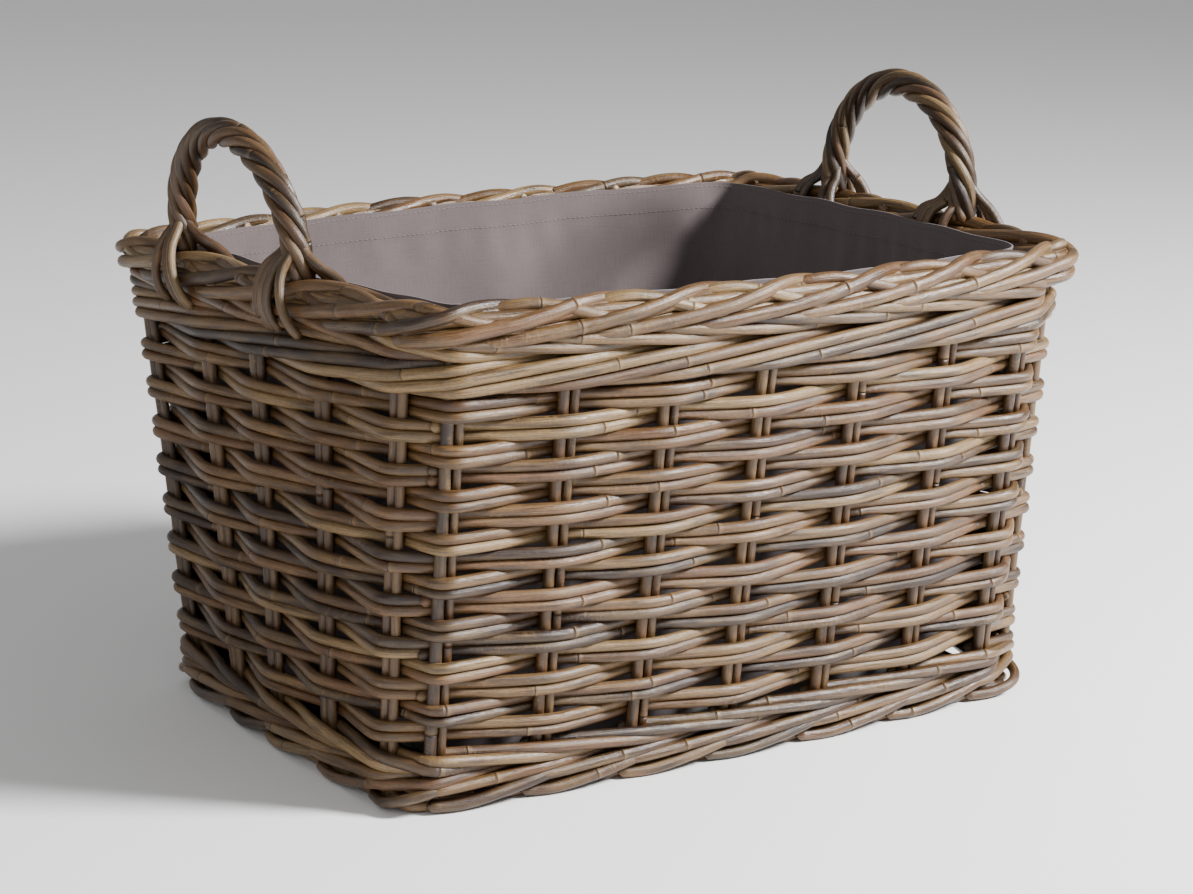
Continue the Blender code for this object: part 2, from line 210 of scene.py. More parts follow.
def run_of(line):
    """Length from the start of a line to each of its points."""
    return np.concatenate([[0], np.cumsum(np.linalg.norm(np.diff(line, axis=0), axis=1))])


def picked(line, run, places):
    """Points of a line at given lengths from its start."""
    return np.stack([np.interp(places, run, line[:, i]) for i in range(3)], axis=1)


def softened(line, reach=0.016):
    """A line with its turns rounded over a reach."""
    step, run = 0.002, run_of(line)
    even = picked(line, run, np.arange(0, run[-1], step))
    half = max(1, int(reach / step / 2))
    before = even[0] - (even[1:half + 1] - even[0])[::-1]
    after = even[-1] - (even[-half - 1:-1] - even[-1])[::-1]
    padded = np.concatenate([before, even, after])
    taps = np.ones(2 * half + 1) / (2 * half + 1)
    return np.stack([np.convolve(padded[:, i], taps, 'valid') for i in range(3)], axis=1)


def round_corners(s, line):
    """A woven rod that runs straight from one stake of a corner to the other."""
    place = s % STAKES
    keep = np.ones(len(s), bool)
    for corner in CORNERS:
        keep &= (place < corner + 0.10) | (place > corner + 0.90)
    keep[[0, -1]] = True
    return softened(line[keep])


def eased(x, keys, values, width):
    """Values between keys with rounded turns, averaged over width."""
    taps = np.linspace(-0.5, 0.5, 9) * width
    return np.mean([np.interp(x + tap, keys, values) for tap in taps], axis=0)


def wander(rng, s, size):
    """A slow irregular line of about the given size."""
    return size / 2 * sum(math.sqrt(1 / (i + 1)) * np.sin(w * s * rng.uniform(0.8, 1.2) + rng.uniform(0, 6.3))
                          for i, w in enumerate((0.7, 1.9, 4.3)))


# ---- Rods
class Rods:
    """Rods of one piece, as lines with a radius and marks at every point."""

    def __init__(self, seed, node_gap):
        self.rng = np.random.default_rng(seed)
        self.node_gap = node_gap
        self.parts = []

    def add(self, line, radius, shade=None, step=ROD_STEP, ends=0.0025):
        """Add one rod along a line, with its own shade, thickness waves and node rings."""
        rng = self.rng
        run = run_of(line)
        count = max(4, int(run[-1] / step) + 1)
        along = np.linspace(0, run[-1], count)
        points = picked(line, run, along)
        rings, place = [], rng.uniform(0.02, self.node_gap)
        while place < run[-1] + self.node_gap:
            rings.append(place)
            place += self.node_gap * rng.uniform(0.6, 1.5)
        off = along[:, None] - np.array(rings)[None, :]
        ring = off[np.arange(count), np.abs(off).argmin(axis=1)]
        thick = radius * rng.uniform(0.93, 1.06)
        thick = thick * (1 + 0.025 * np.sin(along * 31 + rng.uniform(0, 6)))
        thick = thick * (1 + 0.075 * np.exp(-(ring / 0.0026) ** 2) - 0.03 * (ring > 0) * np.exp(-ring / 0.03))
        tip = np.minimum(along, run[-1] - along)
        thick = thick * np.sqrt(np.clip(tip / ends, 0.12, 1)) if ends else thick
        shade = rng.uniform() if shade is None else shade
        self.parts.append((points, thick, along + rng.uniform(0, 40), np.full(count, shade), ring,
                           np.full(count, rng.uniform())))

    def object(self, name, sides, mat):
        """Sweep the rods into one plain mesh object."""
        columns = [np.concatenate([part[i] for part in self.parts]) for i in range(6)]
        starts = np.cumsum([0] + [len(part[0]) for part in self.parts])
        edges = np.concatenate([np.stack([np.arange(a, b - 1), np.arange(a + 1, b)], axis=1)
                                for a, b in zip(starts, starts[1:])])
        mesh = bpy.data.meshes.new(name + "_lines")
        mesh.vertices.add(len(columns[0]))
        mesh.vertices.foreach_set("co", columns[0].astype(np.float32).ravel())
        mesh.edges.add(len(edges))
        mesh.edges.foreach_set("vertices", edges.astype(np.int32).ravel())
        for label, values in zip(("radius", "along", "shade", "ring", "chance"), columns[1:]):
            layer = mesh.attributes.new(label, 'FLOAT', 'POINT')
            layer.data.foreach_set("value", values.astype(np.float32))
        return grown(name, mesh, rod_tree(), {"Sides": sides, "Thickness": 1.0, "Material": mat})


def grown(name, mesh, tree, values):
    """Put a mesh through a node tree and keep the result as a plain mesh object."""
    source = bpy.data.objects.new(name + "_source", mesh)
    bpy.context.scene.collection.objects.link(source)
    modifier = source.modifiers.new("grow", 'NODES')
    modifier.node_group = tree
    for item in tree.interface.items_tree:
        if item.item_type == 'SOCKET' and item.in_out == 'INPUT' and item.name in values:
            modifier[item.identifier] = values[item.name]
    graph = bpy.context.evaluated_depsgraph_get()
    graph.update()
    made = bpy.data.meshes.new_from_object(source.evaluated_get(graph), depsgraph=graph)
    made.name = name
    bpy.data.objects.remove(source)
    bpy.data.meshes.remove(mesh)
    if not made.polygons:
        raise RuntimeError(f"{name} came out empty")
    return placed(name, made)


def placed(name, mesh, mat=None):
    """A mesh object in the scene, at the origin."""
    obj = bpy.data.objects.new(name, mesh)
    bpy.context.scene.collection.objects.link(obj)
    if mat:
        mesh.materials.append(mat)
    return obj


def feed(tree, node, links):
    """Give each named input of a node a socket or a value."""
    for key, value in links.items():
        if isinstance(value, bpy.types.NodeSocket):
            tree.links.new(value, node.inputs[key])
        else:
            node.inputs[key].default_value = value


def add_node(tree, kind, links=None, **settings):
    """Add a node with its inputs and its settings."""
    node = tree.nodes.new(kind)
    for key, value in settings.items():
        setattr(node, key, value)
    feed(tree, node, links or {})
    return node


def maths(tree, operation, *values):
    """One arithmetic step."""
    node = add_node(tree, 'ShaderNodeMath', dict(enumerate(values)), operation=operation)
    return node.outputs[0]


def open_tree(name, inputs):
    """A new Geometry Nodes tree with its inputs, and the sockets it is given."""
    tree = bpy.data.node_groups.new(name, 'GeometryNodeTree')
    for label, kind in (("Geometry", 'Geometry'), *inputs, ("Material", 'Material')):
        tree.interface.new_socket(label, in_out='INPUT', socket_type='NodeSocket' + kind)
    tree.interface.new_socket("Geometry", in_out='OUTPUT', socket_type='NodeSocketGeometry')
    return tree, tree.nodes.new('NodeGroupInput').outputs


def close_tree(tree, shape, given):
    """Make a shape real and smooth, give it its material and hand it out; returns the tree."""
    real = add_node(tree, 'GeometryNodeRealizeInstances', {"Geometry": shape})
    smooth = add_node(tree, 'GeometryNodeSetShadeSmooth', {"Geometry": real.outputs["Geometry"]})
    final = add_node(tree, 'GeometryNodeSetMaterial',
                     {"Geometry": smooth.outputs["Geometry"], "Material": given["Material"]})
    out = tree.nodes.new('NodeGroupOutput')
    tree.links.new(final.outputs["Geometry"], out.inputs["Geometry"])
    return tree


def rod_tree():
    """Geometry Nodes tree that sweeps a round section along every line of a mesh."""
    name = "Rod sweep"
    if name in bpy.data.node_groups:
        return bpy.data.node_groups[name]
    tree, given = open_tree(name, (("Sides", 'Int'), ("Thickness", 'Float')))
    line = add_node(tree, 'GeometryNodeMeshToCurve', {"Mesh": given["Geometry"]})
    circle = add_node(tree, 'GeometryNodeCurvePrimitiveCircle', {"Resolution": given["Sides"], "Radius": 1.0})
    where = tree.nodes.new('GeometryNodeInputPosition')
    marked = add_node(tree, 'GeometryNodeStoreNamedAttribute',
                      {"Geometry": circle.outputs["Curve"], "Name": "round"},
                      data_type='FLOAT_VECTOR', domain='POINT')
    tree.links.new(where.outputs[0], [i for i in marked.inputs if i.name == "Value" and i.enabled][0])
    radius = add_node(tree, 'GeometryNodeInputNamedAttribute', {"Name": "radius"}, data_type='FLOAT')
    size = maths(tree, 'MULTIPLY', radius.outputs["Attribute"], given["Thickness"])
    swept = add_node(tree, 'GeometryNodeCurveToMesh',
                     {"Curve": line.outputs["Curve"], "Profile Curve": marked.outputs["Geometry"],
                      "Scale": size, "Fill Caps": True})
    return close_tree(tree, swept.outputs["Mesh"], given)


# ---- Materials
def blank(name):
    """A new material, its tree and its Principled shader."""
    mat = bpy.data.materials.new(name)
    mat.use_nodes = True
    tree = mat.node_tree
    return mat, tree, tree.nodes["Principled BSDF"]


def ramp(tree, factor, stops):
    """A colour ramp over (position, colour) stops."""
    node = add_node(tree, 'ShaderNodeValToRGB', {"Fac": factor})
    parts = node.color_ramp.elements
    while len(parts) < len(stops):
        parts.new(0.5)
    for part, (place, value) in zip(parts, stops):
        part.position = place
        part.color = (*value[:3], 1.0) if hasattr(value, "__len__") else (value, value, value, 1.0)
    return node.outputs["Color"]


def shift(tree, value, low, high, to_low=0.0, to_high=1.0):
    """A value mapped from one range to another and kept inside it."""
    node = add_node(tree, 'ShaderNodeMapRange', {"Value": value, "From Min": low, "From Max": high,
                                                 "To Min": to_low, "To Max": to_high})
    return node.outputs["Result"]


def blended(tree, factor, a, b, kind='MIX'):
    """Two colours mixed or multiplied."""
    a, b = (value if isinstance(value, bpy.types.NodeSocket) else (*value, 1.0) for value in (a, b))
    node = add_node(tree, 'ShaderNodeMix', {0: factor, 6: a, 7: b}, data_type='RGBA', blend_type=kind)
    return node.outputs[2]


def attribute(tree, name):
    """A named attribute of the piece."""
    return add_node(tree, 'ShaderNodeAttribute', attribute_name=name, attribute_type='GEOMETRY')


def rod_grain(tree, across, along, scale, detail=2.0, offset=0.0):
    """Noise on a rod's own round and along coordinates."""
    round_it = attribute(tree, "round").outputs["Vector"]
    axis = attribute(tree, "along").outputs["Fac"]
    chance = attribute(tree, "chance").outputs["Fac"]
    flat = add_node(tree, 'ShaderNodeVectorMath', {0: round_it, 1: (across, across, 0.0)},
                    operation='MULTIPLY')
    depth = maths(tree, 'MULTIPLY_ADD', chance, 71.0 + offset, maths(tree, 'MULTIPLY', axis, along))
    lift = add_node(tree, 'ShaderNodeCombineXYZ', {"Z": depth})
    place = add_node(tree, 'ShaderNodeVectorMath', {0: flat.outputs[0], 1: lift.outputs[0]},
                     operation='ADD')
    grain = add_node(tree, 'ShaderNodeTexNoise',
                     {"Vector": place.outputs[0], "Scale": scale, "Detail": detail, "Roughness": 0.55})
    return grain.outputs["Fac"]


RING_LINE = (0.022, 0.014, 0.010)        # dark line round a rod at a node ring


def node_rings(tree, base, dark, pale):
    """A colour with the pale band and the scar beside every node ring, and its fine dark line."""
    ring = attribute(tree, "ring").outputs["Fac"]
    past = shift(tree, ring, 0.0018, 0.0050, 0.35, 0.0)
    band = maths(tree, 'MULTIPLY', shift(tree, ring, 0.0004, 0.0009), past)
    scar = shift(tree, maths(tree, 'MULTIPLY', ring, -1.0), 0.0008, 0.009, 0.34, 0.0)
    behind = maths(tree, 'MULTIPLY', scar, shift(tree, ring, -0.0002, 0.0002, 1.0, 0.0))
    uneven = maths(tree, 'SUBTRACT', rod_grain(tree, 1.2, 60.0, 1.0, 1.0), 0.5)
    wavy = maths(tree, 'MULTIPLY_ADD', uneven, 0.0012, ring)
    line = shift(tree, maths(tree, 'ABSOLUTE', wavy), 0.00020, 0.0005, 1.0, 0.0)
    clear = shift(tree, rod_grain(tree, 0.2, 13.0, 1.0, 0.0, 23.0), 0.36, 0.62, 0.12, 0.85)
    base = blended(tree, band, base, pale * 1.15)
    base = blended(tree, behind, base, dark * 0.75)
    return blended(tree, maths(tree, 'MULTIPLY', line, clear), base, RING_LINE)


def rattan(name, sizes, light=1.0):
    """Weathered rattan: a tone for every rod, grain, mottling, node rings and worn sheen."""
    mat, tree, shader = blank(name)
    shade = attribute(tree, "shade").outputs["Fac"]
    tones = (sizes.brown, sizes.tan, sizes.rose, sizes.pale)
    dark, tan, rose, pale = (Vector(tone) * light for tone in tones)
    stops = [(0.0, dark * 0.72), (0.10, dark), (0.24, (dark + tan) / 2), (0.38, tan), (0.50, rose),
             (0.62, (tan + pale) / 2), (0.76, tan * 0.92), (0.88, pale * 0.95), (1.0, pale * 1.10)]
    base = ramp(tree, shade, stops)
    slow = rod_grain(tree, 0.5, 22.0, 1.0, 2.0)
    base = blended(tree, shift(tree, slow, 0.40, 0.64, 0.0, 0.45), base, pale)
    slow_dark = rod_grain(tree, 0.6, 14.0, 1.3, 3.0, 9.0)
    base = blended(tree, shift(tree, slow_dark, 0.50, 0.66, 0.0, 0.72), base, dark * 0.80)
    streak, fleck = rod_grain(tree, 1.7, 8.0, 5.0, 4.0, 3.0), rod_grain(tree, 3.0, 150.0, 2.5, 3.0, 29.0)
    for grain, depths in ((streak, [(0.34, 0.42), (0.5, 0.90), (0.66, 1.30)]),
                          (fleck, [(0.34, 0.72), (0.5, 1.0), (0.68, 1.22)])):
        base = blended(tree, 1.0, base, ramp(tree, grain, depths), 'MULTIPLY')
    dashes = rod_grain(tree, 0.9, 620.0, 1.0, 2.0, 5.0)
    patch = shift(tree, rod_grain(tree, 0.3, 9.0, 1.0, 1.0, 17.0), 0.54, 0.66, 0.0, 0.42)
    marked = maths(tree, 'MULTIPLY', shift(tree, dashes, 0.56, 0.66), patch)
    base = node_rings(tree, blended(tree, marked, base, pale * 1.25), dark, pale)
    own = shift(tree, attribute(tree, "chance").outputs["Fac"], 0.0, 1.0, -0.05, 0.10)
    rough = maths(tree, 'ADD', shift(tree, streak, 0.3, 0.75, 0.28, 0.52), own)
    height = maths(tree, 'ADD', maths(tree, 'MULTIPLY', streak, 0.6), maths(tree, 'MULTIPLY', dashes, 0.25))
    away = maths(tree, 'ABSOLUTE', attribute(tree, "ring").outputs["Fac"])
    height = maths(tree, 'ADD', height, shift(tree, away, 0.0, 0.0012, -1.6, 0.0))
    bump = add_node(tree, 'ShaderNodeBump', {"Strength": 0.9, "Distance": 0.0006, "Height": height})
    feed(tree, shader, {"Base Color": base, "Roughness": rough, "Specular IOR Level": 0.55,
                        "Normal": bump.outputs["Normal"]})
    return mat


def cotton(name, tone):
    """Plain-woven cotton: crossing threads, slubs and a soft fuzz."""
    mat, tree, shader = blank(name)
    place = attribute(tree, "cloth").outputs["Vector"]
    threads = []
    for axis, other in ((0, 1), (1, 0)):
        stretch = [0.0, 0.0, 0.0]
        stretch[axis], stretch[other] = 2600.0, 60.0
        spot = add_node(tree, 'ShaderNodeVectorMath', {0: place, 1: tuple(stretch)}, operation='MULTIPLY')
        grain = add_node(tree, 'ShaderNodeTexNoise', {"Vector": spot.outputs[0], "Scale": 1.0, "Detail": 1.0})
        threads.append(grain.outputs["Fac"])
    weave = maths(tree, 'ADD', *threads)
    cloud = add_node(tree, 'ShaderNodeTexNoise', {"Vector": place, "Scale": 9.0, "Detail": 3.0})
    tone = Vector(tone)
    base = ramp(tree, weave, [(0.72, tone * 0.92), (1.0, tone), (1.28, tone * 1.06)])
    base = blended(tree, 1.0, base, ramp(tree, cloud.outputs["Fac"], [(0.3, 0.93), (0.7, 1.05)]), 'MULTIPLY')
    bump = add_node(tree, 'ShaderNodeBump', {"Strength": 0.35, "Distance": 0.0004, "Height": weave})
    feed(tree, shader, {"Base Color": base, "Roughness": 0.92, "Specular IOR Level": 0.25,
                        "Sheen Weight": 0.25, "Sheen Roughness": 0.5, "Normal": bump.outputs["Normal"]})
    return mat


def finish_piece(obj, body, nodes):
    """Give a piece its body and the CAD nodes it stands for."""
    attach(obj, body)
    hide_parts(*nodes)


# ---- Pieces
class BASKET_OT_stakes(Operator):
    """Upright stakes, a thicker and a thinner rod side by side"""
    bl_idname = "basket.stakes"
    bl_label = "Stakes"

    def execute(self, context):
        sizes = context.scene.basket
        rods = Rods(11, sizes.node_gap)
        z = np.linspace(0.008, 0.327, 80)
        for i in range(STAKES):
            tone = rods.rng.uniform(0.1, 0.8)
            for radius, slide in ((sizes.thick_stake / 2, -0.0037), (sizes.thin_stake / 2, 0.0046)):
                sway = wander(rods.rng, z * 40, 0.0004)
                rods.add(wall(np.full_like(z, i), z, sway, slide + wander(rods.rng, z * 30, 0.0003)), radius,
                         shade=float(np.clip(tone + rods.rng.uniform(-0.15, 0.15), 0, 1)), step=0.005)
        obj = rods.object("stakes", sizes.rod_sides, rattan("Stake rattan", sizes, 0.92))
        finish_piece(obj, "basket", [f"stake_{i + 1:02d}" for i in range(STAKES)])
        return {'FINISHED'}


class BASKET_OT_weave(Operator):
    """Sixteen woven courses of two rods each"""
    bl_idname = "basket.weave"
    bl_label = "Woven courses"

    def execute(self, context):
        sizes = context.scene.basket
        mat = rattan("Weave rattan", sizes)
        for row in range(COURSES):
            rods = Rods(200 + row, sizes.node_gap)
            self.course(rods, row, sizes)
            obj = rods.object(f"course_{row + 1:02d}", sizes.rod_sides, mat)
            finish_piece(obj, "basket", [f"weave_course_{row + 1:02d}"])
        return {'FINISHED'}

    def course(self, rods, row, sizes):
        """Two rods round the basket, each made of three or four lengths."""
        rng = rods.rng
        level = FIRST_COURSE + PITCH * row
        stakes = np.arange(-3, 2 * STAKES + 4)
        signs = np.where((stakes + row) % 2 == 1, 1.0, -1.0)
        flat = rng.uniform(0.02, 0.09, len(stakes))
        keys = np.stack([stakes - flat, stakes + flat], axis=1).ravel()
        values = np.repeat(signs * rng.uniform(0.94, 1.06, len(stakes)), 2)
        uneven = rng.uniform(-0.0006, 0.0006, len(stakes))
        shared = rng.integers(1 << 30)
        for half in (-1, 1):
            first = int(rng.integers(0, 8)) * 2 + row % 2
            stops = [first, first + 8, first + int(rng.choice([14, 16, 18])), first + STAKES]
            for a, b in zip(stops, stops[1:]):
                s = np.arange(a - 0.32, b + 0.30, 0.02)
                swing = eased(s, keys, values, rng.uniform(0.14, 0.28))
                drift = wander(np.random.default_rng(shared), s % STAKES, 0.0007)
                tuck = np.clip((s - b + 0.25) / 0.5, 0, 1) * 0.004
                out = sizes.weave_swing * swing - tuck + wander(rng, s, 0.0003)
                apart = sizes.weave_rod / 2 - 0.00025 + 0.0002 * swing
                z = level + half * apart + drift + np.interp(s, stakes, uneven) + wander(rng, s, 0.00035)
                rods.add(round_corners(s, wall(s, z, out)), sizes.weave_rod / 2)


class BASKET_OT_walings(Operator):
    """Slanting waling rods under the rim and above the foot"""
    bl_idname = "basket.walings"
    bl_label = "Walings"

    def execute(self, context):
        sizes = context.scene.basket
        mat = rattan("Waling rattan", sizes)
        for row, seed, count, strands in WALINGS:
            rods = Rods(seed, sizes.node_gap)
            for i in range(STAKES):
                for levels, ends in strands:
                    self.strand(rods, i, levels, ends, sizes)
            obj = rods.object(f"{row}_waling_rods", sizes.rod_sides, mat)
            finish_piece(obj, "basket", [f"{row}_waling_{k + 1}" for k in range(count)])
        return {'FINISHED'}

    def strand(self, rods, start, levels, ends, sizes):
        """One float from behind one stake to behind another."""
        keys = np.arange(len(levels))
        front = sizes.weave_swing + 0.0004
        outs = [ends[0], *[front] * (len(levels) - 2), ends[1]]
        p = np.arange(keys[0] - 0.15, keys[-1] + 0.15, 0.02)
        z = eased(p, keys, levels, 0.5) + wander(rods.rng, p, 0.0004)
        out = eased(p, keys, outs, 0.3) + wander(rods.rng, p, 0.0002)
        rods.add(round_corners(start + p, wall(start + p, z, out)), sizes.weave_rod / 2 * 1.02)


class BASKET_OT_rim(Operator):
    """Rolled rim border of slanting rods that turn over the top"""
    bl_idname = "basket.rim"
    bl_label = "Rim border"

    def execute(self, context):
        sizes = context.scene.basket
        rods = Rods(41, 0.16)
        # Each point: stakes along, millimetres out of the wall, millimetres up from the rim.
        over = ((0.0, 3, -27.0), (0.3, 9, -26.0), (1.0, 11, -20.0), (1.5, 11.5, -13.5), (1.8, 9, -8.5),
                (2.0, 4.5, -5.0), (2.2, -1.5, -4.4), (2.4, -7, -5.8), (2.7, -10, -9.5), (3.3, -11, -17.0),
                (3.8, -9, -23.0))
        under = ((0.5, 2, -27.0), (0.8, 7.5, -24.5), (1.3, 8.5, -17.5), (1.8, 7, -12.0), (2.1, 3, -9.0),
                 (2.5, -4, -8.5), (2.9, -8, -12.0), (3.4, -8.5, -19.0))
        hump = ((0.20, -6, -10.0), (0.28, -2.5, -6.4), (0.42, 1.0, -4.3), (0.60, 2.6, -4.2),
                (0.80, 5.2, -7.0), (1.0, 7.5, -11.5), (1.3, 8.0, -17.5), (1.6, 5.5, -24.0))
        for i in range(STAKES):
            for shape, thick in ((over, 1.04), (under, 0.80), (hump, 0.98)):
                keys, outs, levels = np.array(shape).T
                p = np.arange(keys[0], keys[-1], 0.012)
                z = RIM_HEIGHT + eased(p, keys, levels / 1e3, 0.14) + wander(rods.rng, p, 0.0005)
                out = eased(p, keys, outs / 1e3, 0.14) + wander(rods.rng, p, 0.0004)
                line = softened(wall(i + p + rods.rng.uniform(-0.05, 0.05), z, out), 0.012)
                rods.add(line, sizes.border_rod / 2 * thick, step=0.0032)
        lap = np.arange(0, STAKES + 0.01, 0.02)
        for out, level in ((5.0, -11.0), (5.5, -19.0), (-4.5, -13.0)):
            rods.add(softened(wall(lap, RIM_HEIGHT + level / 1e3 + wander(rods.rng, lap, 0.0004), out / 1e3)),
                     sizes.border_rod / 2, step=0.005, ends=0.0)
        obj = rods.object("rim_border_rods", sizes.rod_sides, rattan("Border rattan", sizes))
        finish_piece(obj, "basket", ["rim_border"])
        return {'FINISHED'}


class BASKET_OT_foot(Operator):
    """Foot border that the basket stands on"""
    bl_idname = "basket.foot"
    bl_label = "Foot border"

    def execute(self, context):
        sizes = context.scene.basket
        rods = Rods(51, 0.16)
        # Each point: stakes along, millimetres out of the wall, millimetres up from the ground.
        strand = ((-0.15, 2.0, 6.5), (0.0, 6.0, 4.4), (0.25, 8.4, 6.0), (0.6, 9.0, 11.5), (0.95, 8.4, 17.5),
                  (1.2, 3.0, 20.5), (1.4, -3.0, 21.0))
        inner = ((-0.1, -3.0, 12.0), (0.2, -1.0, 6.0), (0.5, -1.5, 4.4), (1.1, -1.0, 4.6), (1.4, -4.0, 9.0))
        for i in range(STAKES):
            for shape in (strand, inner):
                keys, outs, levels = np.array(shape).T
                p = np.arange(keys[0], keys[-1], 0.02)
                z = eased(p, keys, levels / 1e3, 0.3)
                out = eased(p, keys, outs / 1e3, 0.3) + wander(rods.rng, p, 0.0004)
                line = softened(wall(i + p + rods.rng.uniform(-0.10, 0.10), z, out), 0.012)
                line[:, 2] = np.maximum(line[:, 2], sizes.foot_rod / 2 * 1.14)
                rods.add(line, sizes.foot_rod / 2)
        obj = rods.object("foot_border_rods", sizes.rod_sides, rattan("Foot rattan", sizes, 0.9))
        finish_piece(obj, "basket", ["foot_border"])
        return {'FINISHED'}


class BASKET_OT_base(Operator):
    """Woven floor on its cross sticks"""
    bl_idname = "basket.base"
    bl_label = "Base"

    def execute(self, context):
        sizes = context.scene.basket
        sticks, rods = Rods(61, sizes.node_gap), Rods(62, sizes.node_gap)
        places = np.array([q * HALF_LENGTH[0] for q in LONG_STAKES])
        half_x, half_y = BASE_HALF
        y = np.linspace(-half_y, half_y, 30)
        for x in places:
            for slide in (-STICK_APART / 2, STICK_APART / 2):
                line = np.stack([x + slide + 0 * y, y, BASE_LEVEL + 0.0001 + 0 * y], axis=1)
                sticks.add(line - MIDDLE, STICK_RADIUS, step=0.006)
        keys = np.concatenate([[-half_x - 0.015], places, [half_x + 0.015]])
        spacing = sizes.base_rod * 1.12
        count = int(2 * half_y / spacing)
        x = np.linspace(-half_x, half_x, 120)
        for k in range(count):
            y = (k - (count - 1) / 2) * spacing
            signs = np.where((np.arange(len(keys)) + k) % 2, 1.0, -1.0)
            z = BASE_LEVEL + 0.0065 * eased(x, keys, signs, 0.02)
            bend = y + 0.012 * (1 - (x / half_x) ** 2) * y / half_y
            rods.add(np.stack([x, bend, z], axis=1) - MIDDLE, sizes.base_rod / 2, step=0.006)
        mat = rattan("Base rattan", sizes, 0.9)
        obj = sticks.object("base_stick_rods", 10, mat)
        finish_piece(obj, "basket", [f"base_stick_{i + 1}" for i in range(len(places))])
        obj = rods.object("base_weave_rods", 8, mat)
        finish_piece(obj, "basket", ["base_weave"])
        return {'FINISHED'}


def rim_spot(side, q):
    """Middle of the rim border's top at a fraction of a side."""
    x, y, _ = plan(side + (q + 1) / 2, RIM_HEIGHT)
    return leaned(np.array([x, y, RIM_HEIGHT - 0.001]), x, y, RIM_HEIGHT)


class BASKET_OT_handles(Operator):
    """Two twisted rod handles whose strands grip the border"""
    bl_idname = "basket.handles"
    bl_label = "Handles"

    def execute(self, context):
        sizes = context.scene.basket
        mat = rattan("Handle rattan", sizes, 0.75)
        for seed, (name, side, fractions, top, tilt) in enumerate(HANDLES):
            rods = Rods(71 + seed, 0.15)
            feet = [rim_spot(side, q) for q in fractions]
            self.hoop(rods, feet, top, tilt, sizes)
            outward_sign = 1 if side == 1 else -1
            for foot, grips in zip(sorted(feet, key=lambda f: f[1]), (NEAR_GRIP, FAR_GRIP)):
                self.grip(rods, outward_sign, foot, grips[side], sizes)
            obj = rods.object(name + "_rods", sizes.rod_sides, mat)
            finish_piece(obj, "basket", [name])
        return {'FINISHED'}

    def hoop(self, rods, feet, top, tilt, sizes):
        """Strands twisted round a core along the hoop."""
        middle, half = (feet[0] + feet[1]) / 2, (feet[1] - feet[0]) / 2
        spring = max(top - np.linalg.norm(half), max(foot[2] for foot in feet) + 0.006)
        a = np.linspace(0, math.pi, 160)[:, None]
        arch = middle - half * np.cos(a)
        arch[:, 2] = spring
        arch = arch + np.array([*tilt, top - spring]) * np.sin(a)
        line = np.concatenate([[feet[0] - (0, 0, 0.004)], arch, [feet[1] - (0, 0, 0.004)]])
        run = run_of(line)
        steps = np.arange(0, run[-1], 0.002)
        line = picked(line, run, steps)
        ahead = np.gradient(line, axis=0)
        ahead /= np.linalg.norm(ahead, axis=1)[:, None]
        first = np.array([1.0, 0, 0]) - ahead * ahead[:, :1]
        first /= np.linalg.norm(first, axis=1)[:, None]
        second = np.cross(ahead, first)
        rods.add(line, HANDLE_CORE, shade=0.1)
        count = sizes.handle_strands
        for k in range(count):
            angle = -math.tau * (steps / sizes.handle_lay + k / count)
            around = HANDLE_TWIST + wander(rods.rng, steps * 30, 0.0003)
            aside = first * (around * np.cos(angle))[:, None] + second * (around * np.sin(angle))[:, None]
            rods.add(line + aside, sizes.handle_rod / 2, step=0.0022)

    def grip(self, rods, outward_sign, foot, grips, sizes):
        """Strands that leave a leg and go over the border, outside and inside."""
        for points in grips:
            line = np.array([(outward_sign * out, along, up) for out, along, up in points]) / 1e3 + foot
            rods.add(rounded(line), sizes.handle_rod / 2 * rods.rng.uniform(0.84, 0.94))


def outer_wrap(lead, spread):
    """Strand of a leg over the outside of the border: out, along and up in millimetres."""
    return [(2, lead * 0.2, 25), (8, lead * 0.5, 15), (15.5, lead * 0.9, 4.5),
            (19.3, lead + spread * 0.3, -8), (19.3, lead + spread * 0.7, -20), (15, lead + spread, -31),
            (8, lead + spread, -38)]


def inner_wrap(lead, spread, start=27):
    """Strand of a leg over the top to the inside of the border, from a height up the leg."""
    return [(1, lead * 0.05, start), (-1, lead * 0.3, start * 0.62), (-6, lead * 0.7, 8.5),
            (-13.5, lead, 2.5), (-18.3, lead + spread * 0.5, -5.5), (-18.6, lead + spread, -17),
            (-16, lead + spread * 1.3, -26)]


# Grips of the nearer (lower Y) and the farther leg of each handle, by side of the basket.
NEAR_GRIP = {3: [outer_wrap(8, 3), outer_wrap(15, 3), outer_wrap(22, 3), outer_wrap(-4, -12),
                 inner_wrap(-14, -16), inner_wrap(-22, -20), inner_wrap(-6, -8)],
             1: [outer_wrap(-10, -12), outer_wrap(-1, -2), outer_wrap(-18, -18),
                 inner_wrap(17, 3, 38), inner_wrap(24, 3, 40), inner_wrap(30.5, 3, 42), inner_wrap(0, 0)]}
FAR_GRIP = {3: [outer_wrap(-7, -14), outer_wrap(-14, -16), outer_wrap(4, 2),
                inner_wrap(-12, -12), inner_wrap(-20, -16), inner_wrap(-28, -18)],
            1: [outer_wrap(-9, -10), outer_wrap(-17, -14), outer_wrap(2, 1),
                inner_wrap(14, 3, 36), inner_wrap(21, 3, 38), inner_wrap(-6, -4), inner_wrap(-15, -8, 30)]}


